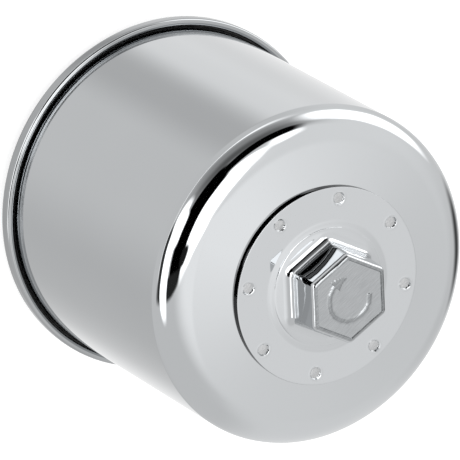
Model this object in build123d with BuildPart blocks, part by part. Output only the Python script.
from build123d import *
import os
from math import acos, cos, degrees, pi, radians, sin, sqrt, tan

# Spin-on engine oil filter: a chromed drawn canister closed by a rolled seam, a threaded base
# with its gasket, a pleated element with a bypass valve inside, and a pressed wrench nut on top.
# Millimetres.  Z = 0 is the gasket's sealing face, +Z runs along the thread to the wrench nut.

# ---- canister and seam -------------------------------------------------------------------
gasket_stand = 2.6        # the gasket's height below the seam
body_radius = 36.1        # outside of the drawn wall
body_length = 61.9        # from the bottom of the seam to the shoulder's crease
can_wall = 0.6
shoulder_radius = 9.0
shoulder_crease = 25.0    # degrees between the wall and the shoulder where they meet
face_slope = 9.5          # degrees that the face falls away towards the shoulder
lid_wall = 0.6
seam_height = 4.6
seam_gap = 0.05           # between the rolled layers

# ---- wrench nut plate --------------------------------------------------------------------
nut_plate_radius = 21.05
nut_sheet = 1.4
nut_seat_margin = 0.6     # flat land of the face, inside the plate's edge
hex_flats = 17.0
hex_height = 9.2          # above the plate
hex_corner = 1.3
hex_edge = 1.2
pedestal_radius = 13.8
pedestal_height = 0.6
nut_turn = -4.0           # degrees from +X to the hexagon's first corner
weld_inset = 2.48         # from the plate's edge to the ring of plug welds
weld_count = 8
weld_radius = 1.2
weld_sink = 0.25          # how far a weld lies below the plate

# ---- base ----------------------------------------------------------------------------------
gasket_inset = 4.05       # from the inside of the can to the gasket
gasket_width = 3.4
gasket_height = 5.0
gasket_edge = 0.4
groove_clearance = 0.05   # between the gasket and the beads at its sides
bead_width = 1.0
bead_run = 0.4
inner_bead_depth = 1.6
outer_bead_depth = 1.4
bead_bend = 0.35
weld_land = 3.1           # flat of the lid between its opening and the inner bead
lid_weld_inset = 1.4      # from the lid's opening to its ring of welds
lid_weld_radius = 1.1
lid_weld_count = 6
base_thickness = 3.2
base_edge_clearance = 0.9
thread_bore = 8.8         # wall of a 3/4-16 UNF thread at its minor diameter
thread_length = 9.6
lead_in = 0.8
lead_out = 0.5
hub_wall = 3.6
inlet_count = 8
inlet_radius = 2.6
inlet_inset = 2.4         # from the hub to the rim of an inlet hole

# ---- anti-drainback valve ----------------------------------------------------------------
valve_hub_clearance = 0.1
valve_hub_wall = 1.9
valve_hub_height = 4.4
flap_thickness = 1.2
flap_reach = 6.0          # beyond the outer rim of the inlet holes
flap_land = 1.5

# ---- filter element ------------------------------------------------------------------------
cap_sheet = 0.5
cap_passage = 2.35        # the oil's way down between the can and the end caps
cap_skirt = 2.75
cap_bend = 0.4
cap_neck_clearance = 0.6
cap_neck = 1.7
glue_depth = 1.0
glue_inner_gap = 0.4      # from the glue to the centre tube
glue_outer_gap = 0.3      # from the glue to the cap's skirt
tube_gap = 1.2            # between the lower cap's neck and the centre tube
tube_wall = 0.5
tube_hole = 1.6
tube_hole_rows = 9
tube_holes_around = 10
media_inner_gap = 0.8     # from the centre tube to the folds
media_outer_gap = 1.35    # from the folds to the edge of the end caps
pleat_count = 48
paper = 0.5
fold_outer = 0.9
fold_inner = 0.6
clip_sheet = 0.3
clip_clearance = 0.2
clip_depth = 4.0

# ---- bypass valve --------------------------------------------------------------------------
port_radius = 7.0
cage_sheet = 0.5
cage_bend = 0.6
cage_passage = 2.1        # the oil's way down between the disc and the cage
cage_depth = 14.5
cage_fit = 0.4            # between the cage's flange and the centre tube
window_width = 7.0
window_corner = 1.5
window_count = 4
window_margin = 3.0
seal_thickness = 1.0
seal_overlap = 2.4        # how far the disc reaches past the port
disc_thickness = 1.0
disc_edge = 0.33
stem_radius = 2.5
stem_fit = 0.08
stem_below_cage = 1.5
stem_tip = 0.5
bypass_wire = 0.9
bypass_coil = 6.0
bypass_turns = 5.0
spring_gap = 0.05         # between a spring's wire and its seats

# ---- element spring ------------------------------------------------------------------------
support_wire = 1.6
support_height = 9.276
support_inset = 2.45      # from the edge of the face's flat seat to the spring's coil
support_turns = 2.75

cut_margin = 1.0          # how far a cutting tool runs past the wall it cuts

# ---- heights and radii that follow -------------------------------------------------------
seam_bottom = gasket_stand
seam_top = seam_bottom + seam_height
crease_z = seam_bottom + body_length
shoulder_r = body_radius - shoulder_radius * cos(radians(shoulder_crease))
shoulder_z = crease_z - shoulder_radius * sin(radians(shoulder_crease))
seat_radius = nut_plate_radius - nut_seat_margin
slope = radians(face_slope)
face_r = shoulder_r + shoulder_radius * sin(slope)
face_z = shoulder_z + shoulder_radius * cos(slope)
seat_z = face_z + (face_r - seat_radius) * tan(slope)
plate_z = seat_z + nut_sheet
weld_circle = nut_plate_radius - weld_inset
can_inside = body_radius - can_wall
can_ceiling = seat_z - can_wall

hook_mid = body_radius + seam_gap + lid_wall / 2
body_hook = hook_mid + lid_wall / 2 + seam_gap + can_wall / 2
seam_panel = body_hook + can_wall / 2 + 2 * seam_gap + lid_wall / 2
chuck_mid = can_inside - seam_gap - lid_wall / 2
can_mid = body_radius - can_wall / 2
hook_bend = (body_hook - can_mid) / 2
lid_bend = hook_bend + can_wall / 2 + lid_wall / 2
bend_z = seam_bottom + lid_wall / 2 + lid_bend
roll_bend = (seam_panel - hook_mid) / 2
roll_z = seam_top - lid_wall / 2 - roll_bend

gasket_outer = can_inside - gasket_inset
gasket_inner = gasket_outer - gasket_width
outer_bead = gasket_outer + groove_clearance + lid_wall / 2
inner_bead = gasket_inner - groove_clearance - lid_wall / 2
lid_opening = inner_bead - 2 * bead_run - bead_width - weld_land
lid_weld_circle = lid_opening + lid_weld_inset

groove_z = gasket_height
lid_top = groove_z + lid_wall
lid_mid = groove_z + lid_wall / 2
base_top = lid_top + base_thickness
hub_radius = thread_bore + hub_wall
inlet_circle = hub_radius + inlet_inset + inlet_radius

valve_inner = hub_radius + valve_hub_clearance
valve_top = base_top + valve_hub_height
flap_end = inlet_circle + inlet_radius + flap_reach

cap_bottom = valve_top
lower_glue = cap_bottom + cap_sheet
media_bottom = lower_glue + glue_depth
cap_top = can_ceiling - support_height
upper_cap = cap_top - cap_sheet
media_top = upper_cap - glue_depth
media_length = media_top - media_bottom
cap_radius = can_inside - cap_passage
neck_radius = hub_radius + cap_neck_clearance + cap_sheet
tube_radius = neck_radius + tube_gap + tube_wall
media_inner = tube_radius + media_inner_gap
media_outer = cap_radius - media_outer_gap
glue_inner = tube_radius + glue_inner_gap
glue_outer = cap_radius - cap_sheet - glue_outer_gap
support_coil = seat_radius - support_inset

disc_radius = port_radius + seal_overlap
cage_radius = disc_radius + cage_passage
cage_flange = tube_radius - tube_wall - cage_fit
cage_floor = upper_cap - cage_depth
disc_top = upper_cap - seal_thickness
disc_bottom = disc_top - disc_thickness


def sheet_ring(points, radius, thickness):
    """A pressed sheet of revolution from the corners of its middle line."""
    with BuildPart() as ring:
        with BuildSketch(Plane.XZ):
            with BuildLine():
                FilletPolyline(*points, radius=radius)
            trace(line_width=thickness)
        revolve(axis=Axis.Z)
    return ring.part


def square_ring(inner, outer, bottom, top):
    """A plain ring of rectangular section."""
    with BuildPart() as ring:
        with BuildSketch(Plane.XY.offset(bottom)):
            Circle(outer)
            Circle(inner, mode=Mode.SUBTRACT)
        extrude(amount=top - bottom)
    return ring.part


def coil_spring(coil, wire, bottom, top, turns):
    """An open coil spring whose wire just clears its two seats."""
    rise = top - bottom - wire - 2 * spring_gap
    start = bottom + spring_gap + wire / 2
    with BuildPart() as spring:
        with BuildLine():
            turn = Helix(pitch=rise / turns, height=rise, radius=coil, center=(0, 0, start))
        with BuildSketch(Plane(origin=turn @ 0, z_dir=turn % 0)):
            Circle(wire / 2)
        sweep(is_frenet=True)
    return spring.part


def save(part, name):
    """Label a finished piece and write it to its own file."""
    part.label = name
    export_step(part, f"parts/{name}.step")


os.makedirs("parts", exist_ok=True)

# ---- canister: seat, sloping face, shoulder, wall and the hook rolled into the seam --------
shoulder_mid = shoulder_radius - can_wall / 2
crease_turn = acos((can_mid - shoulder_r) / shoulder_mid)
with BuildPart() as canister_shell:
    with BuildSketch(Plane.XZ):
        with BuildLine():
            seat = Line((0, seat_z - can_wall / 2), (seat_radius, seat_z - can_wall / 2))
            shoulder = CenterArc(
                (shoulder_r, shoulder_z),
                shoulder_mid,
                90 - face_slope,
                degrees(crease_turn) - 90 + face_slope,
            )
            Line(seat @ 1, shoulder @ 0)
            wall = Line(shoulder @ 1, (can_mid, bend_z))
            hook = ThreePointArc(
                wall @ 1, (can_mid + hook_bend, bend_z - hook_bend), (body_hook, bend_z)
            )
            Line(hook @ 1, (body_hook, roll_z - seam_gap))
        trace(line_width=can_wall)
    revolve(axis=Axis.Z)
save(canister_shell.part, "canister_shell")

# ---- seaming lid: weld land, two beads beside the gasket, chuck wall and rolled seam -------
with BuildPart() as seaming_lid:
    with BuildSketch(Plane.XZ):
        with BuildLine():
            land = FilletPolyline(
                (lid_opening, lid_mid),
                (inner_bead - 2 * bead_run - bead_width, lid_mid),
                (inner_bead - bead_run - bead_width, lid_mid - inner_bead_depth),
                (inner_bead - bead_run, lid_mid - inner_bead_depth),
                (inner_bead, lid_mid),
                (outer_bead, lid_mid),
                (outer_bead + bead_run, lid_mid - outer_bead_depth),
                (outer_bead + bead_run + bead_width, lid_mid - outer_bead_depth),
                (outer_bead + 2 * bead_run + bead_width, lid_mid),
                (chuck_mid, lid_mid),
                (chuck_mid, bend_z),
                radius=bead_bend,
            )
            heel = CenterArc((chuck_mid + lid_bend, bend_z), lid_bend, 180, 90)
            toe = CenterArc((seam_panel - lid_bend, bend_z), lid_bend, 270, 90)
            Line(heel @ 1, toe @ 0)
            panel = Line(toe @ 1, (seam_panel, roll_z))
            roll = CenterArc((hook_mid + roll_bend, roll_z), roll_bend, 0, 180)
            Line(roll @ 1, (hook_mid, bend_z + hook_bend))
        trace(line_width=lid_wall)
    revolve(axis=Axis.Z)
    with BuildSketch(Plane.XY.offset(groove_z)):
        with PolarLocations(lid_weld_circle, lid_weld_count):
            Circle(lid_weld_radius)
    extrude(amount=lid_wall, mode=Mode.SUBTRACT)
save(seaming_lid.part, "seaming_lid")

# ---- sealing compound in the fold of the seam ------------------------------------------------
seam_compound = square_ring(
    hook_mid - lid_wall / 2 + seam_gap,
    hook_mid + lid_wall / 2 - seam_gap,
    bend_z,
    bend_z + hook_bend - seam_gap,
)
save(seam_compound, "seam_compound")

# ---- welds that hold the lid to the base plate -----------------------------------------------
with BuildPart() as lid_welds:
    with BuildSketch(Plane.XY.offset(groove_z + lid_wall / 3)):
        with PolarLocations(lid_weld_circle, lid_weld_count):
            Circle(lid_weld_radius)
    extrude(amount=lid_wall * 2 / 3)
save(lid_welds.part, "lid_welds")

# ---- base plate: thick disc with a threaded hub and a ring of inlet holes --------------------
with BuildPart() as base_plate:
    with BuildSketch(Plane.XY.offset(lid_top)):
        Circle(can_inside - base_edge_clearance)
    extrude(amount=base_thickness)
    with BuildSketch(Plane.XY.offset(lid_top)):
        Circle(hub_radius)
    extrude(amount=thread_length)
    with BuildSketch(Plane.XY.offset(lid_top)):
        Circle(thread_bore)
    extrude(amount=thread_length, mode=Mode.SUBTRACT)
    with BuildSketch(Plane.XY.offset(lid_top)):
        with PolarLocations(inlet_circle, inlet_count):
            Circle(inlet_radius)
    extrude(amount=base_thickness, mode=Mode.SUBTRACT)
    rims = base_plate.edges().filter_by(GeomType.CIRCLE)
    bore_rims = rims.filter_by(lambda rim: inlet_radius < rim.radius < hub_radius)
    chamfer(bore_rims.sort_by(Axis.Z)[0], lead_in)
    chamfer(bore_rims.sort_by(Axis.Z)[-1], lead_out)
save(base_plate.part, "base_plate")

# ---- mounting gasket -----------------------------------------------------------------------
with BuildPart() as mounting_gasket:
    with BuildSketch():
        Circle(gasket_outer)
        Circle(gasket_inner, mode=Mode.SUBTRACT)
    extrude(amount=gasket_height)
    fillet(mounting_gasket.edges().filter_by(GeomType.CIRCLE), gasket_edge)
save(mounting_gasket.part, "mounting_gasket")

# ---- anti-drainback valve: rubber hub with a flap over the inlet holes -----------------------
with BuildPart() as anti_drainback_valve:
    with BuildSketch(Plane.XZ):
        with BuildLine():
            flap_root = (valve_inner + valve_hub_wall / 2, valve_top - flap_thickness / 2)
            Polyline(
                flap_root,
                (valve_inner + valve_hub_wall, valve_top - flap_thickness / 2),
                (flap_end - flap_land, base_top + seam_gap + flap_thickness / 2),
                (flap_end, base_top + seam_gap + flap_thickness / 2),
            )
        trace(line_width=flap_thickness)
        with Locations((valve_inner, base_top)):
            Rectangle(valve_hub_wall, valve_hub_height, align=(Align.MIN, Align.MIN))
    revolve(axis=Axis.Z)
save(anti_drainback_valve.part, "anti_drainback_valve")

# ---- end caps and the glue that holds the media in them ------------------------------------
cap_mid = cap_radius - cap_sheet / 2
neck_mid = neck_radius - cap_sheet / 2
cap_line = cap_bottom + cap_sheet / 2
lower_end_cap = sheet_ring(
    [
        (neck_mid, cap_line + cap_neck),
        (neck_mid, cap_line),
        (cap_mid, cap_line),
        (cap_mid, cap_line + cap_skirt),
    ],
    cap_bend,
    cap_sheet,
)
save(lower_end_cap, "lower_end_cap")

cap_line = upper_cap + cap_sheet / 2
upper_end_cap = sheet_ring(
    [(port_radius, cap_line), (cap_mid, cap_line), (cap_mid, cap_line - cap_skirt)],
    cap_bend,
    cap_sheet,
)
save(upper_end_cap, "upper_end_cap")

save(square_ring(glue_inner, glue_outer, lower_glue, media_bottom), "lower_adhesive")
save(square_ring(glue_inner, glue_outer, media_top, upper_cap), "upper_adhesive")

# ---- centre tube with its rows of staggered holes ------------------------------------------
hole_pitch = media_length / tube_hole_rows
with BuildPart() as center_tube:
    with BuildSketch(Plane.XY.offset(lower_glue)):
        Circle(tube_radius)
        Circle(tube_radius - tube_wall, mode=Mode.SUBTRACT)
    extrude(amount=upper_cap - lower_glue)
    for row in range(tube_hole_rows):
        height = media_bottom + (row + 0.5) * hole_pitch
        for step in range(tube_holes_around // 2):
            turn = 360 / tube_holes_around * (step + 0.5 * (row % 2))
            with BuildSketch(Plane.XZ.rotated((0, turn, 0))):
                with Locations((0, height)):
                    Circle(tube_hole)
            extrude(amount=tube_radius + cut_margin, both=True, mode=Mode.SUBTRACT)
save(center_tube.part, "center_tube")

# ---- pleated media ---------------------------------------------------------------------------
pleat_turn = 2 * pi / pleat_count


def pleat_points():
    """The corners of the pleated paper's middle line, all the way round."""
    corners = []
    for pleat in range(pleat_count):
        middle = pleat * pleat_turn
        for radius, width, turn in (
            (media_outer, -fold_outer, middle),
            (media_outer, fold_outer, middle),
            (media_inner + paper, -fold_inner, middle + pleat_turn / 2),
            (media_inner + paper, fold_inner, middle + pleat_turn / 2),
        ):
            angle = turn + width / 2 / radius
            corners.append((radius * cos(angle), radius * sin(angle)))
    return corners


with BuildPart() as filter_media:
    with BuildSketch(Plane.XY.offset(media_bottom)):
        with BuildLine():
            Polyline(*pleat_points(), close=True)
        trace(line_width=paper)
    extrude(amount=media_length)
save(filter_media.part, "filter_media")

# ---- metal clip that joins the media's two ends over one fold --------------------------------
clip_inside = fold_outer + paper + 2 * clip_clearance
clip_face = media_outer + paper / 2 + clip_clearance
with BuildPart() as media_clip:
    with BuildSketch(Plane.XY.offset(media_bottom + clip_clearance)):
        with BuildLine():
            clip_side = (clip_inside + clip_sheet) / 2
            Polyline(
                (clip_face - clip_depth, -clip_side),
                (clip_face + clip_sheet / 2, -clip_side),
                (clip_face + clip_sheet / 2, clip_side),
                (clip_face - clip_depth, clip_side),
            )
        trace(line_width=clip_sheet)
    extrude(amount=media_length - 2 * clip_clearance)
save(media_clip.part, "media_clip")

# ---- bypass valve: cage with windows, disc with its stem, rubber face and spring -------------
cage_mid = cage_radius - cage_sheet / 2
cage_line = upper_cap - cage_sheet / 2
stem_hole = stem_radius + stem_fit
with BuildPart() as bypass_cage:
    with BuildSketch(Plane.XZ):
        with BuildLine():
            FilletPolyline(
                (cage_flange, cage_line),
                (cage_mid, cage_line),
                (cage_mid, cage_floor + cage_sheet / 2),
                (stem_hole, cage_floor + cage_sheet / 2),
                radius=cage_bend,
            )
        trace(line_width=cage_sheet)
    revolve(axis=Axis.Z)
    window_height = cage_depth - 2 * window_margin
    for step in range(window_count // 2):
        with BuildSketch(Plane.XZ.rotated((0, 360 / window_count * step, 0))):
            with Locations((0, cage_floor + cage_depth / 2)):
                RectangleRounded(window_width, window_height, window_corner)
        extrude(amount=cage_radius + cut_margin, both=True, mode=Mode.SUBTRACT)
save(bypass_cage.part, "bypass_cage")

with BuildPart() as bypass_disc:
    with BuildSketch(Plane.XY.offset(disc_bottom)):
        Circle(disc_radius)
    extrude(amount=disc_thickness)
    fillet(bypass_disc.edges().group_by(Axis.Z)[0], disc_edge)
    with BuildSketch(Plane.XY.offset(disc_bottom)):
        Circle(stem_radius)
    extrude(amount=disc_thickness, mode=Mode.SUBTRACT)
save(bypass_disc.part, "bypass_disc")

with BuildPart() as bypass_stem:
    with BuildSketch(Plane.XY.offset(cage_floor - stem_below_cage)):
        Circle(stem_radius)
    extrude(amount=disc_top + seal_thickness / 2 - cage_floor + stem_below_cage)
    with BuildSketch(Plane.XY.offset(disc_top)):
        Circle(stem_radius + seal_thickness)
    extrude(amount=seal_thickness / 2)
    chamfer(bypass_stem.edges().group_by(Axis.Z)[0], stem_tip)
save(bypass_stem.part, "bypass_stem")

seal_inner = stem_radius + seal_thickness + seam_gap
save(square_ring(seal_inner, disc_radius, disc_top, upper_cap), "bypass_seal")

bypass_spring = coil_spring(
    bypass_coil, bypass_wire, cage_floor + cage_sheet, disc_bottom, bypass_turns
)
save(bypass_spring, "bypass_spring")

# ---- spring that holds the element down on the base ------------------------------------------
support_spring = coil_spring(
    support_coil, support_wire, cap_top, can_ceiling, support_turns
)
save(support_spring, "element_spring")

# ---- wrench nut plate: disc, low pedestal and a hollow pressed hexagon ---------------------
hex_corner_radius = hex_flats / sqrt(3)
with BuildPart() as nut_plate:
    with BuildSketch(Plane.XY.offset(seat_z)):
        Circle(nut_plate_radius)
    extrude(amount=nut_sheet)
    with BuildSketch(Plane.XY.offset(plate_z)):
        Circle(pedestal_radius)
    extrude(amount=pedestal_height, taper=45)
    with BuildSketch(Plane.XY.offset(plate_z)):
        RegularPolygon(hex_corner_radius, 6, rotation=nut_turn)
    extrude(amount=hex_height)
    hex_uprights = nut_plate.edges().filter_by(Axis.Z)
    fillet(hex_uprights.filter_by(lambda edge: edge.length > pedestal_height * 2), hex_corner)
    fillet(nut_plate.faces().sort_by(Axis.Z)[-1].edges(), hex_edge)
    with BuildSketch(Plane.XY.offset(seat_z)):
        RegularPolygon(hex_corner_radius - nut_sheet * 2 / sqrt(3), 6, rotation=nut_turn)
    extrude(amount=hex_height, mode=Mode.SUBTRACT)
    with BuildSketch(Plane.XY.offset(seat_z)):
        with PolarLocations(weld_circle, weld_count):
            Circle(weld_radius)
    extrude(amount=nut_sheet, mode=Mode.SUBTRACT)
save(nut_plate.part, "nut_plate")

# ---- plug welds that hold the nut plate to the canister --------------------------------------
with BuildPart() as nut_welds:
    with BuildSketch(Plane.XY.offset(seat_z)):
        with PolarLocations(weld_circle, weld_count):
            Circle(weld_radius)
    extrude(amount=nut_sheet - weld_sink)
save(nut_welds.part, "nut_welds")

print(f"overall height {plate_z + hex_height:.2f}, seam diameter {2 * (seam_panel + lid_wall / 2):.2f}")
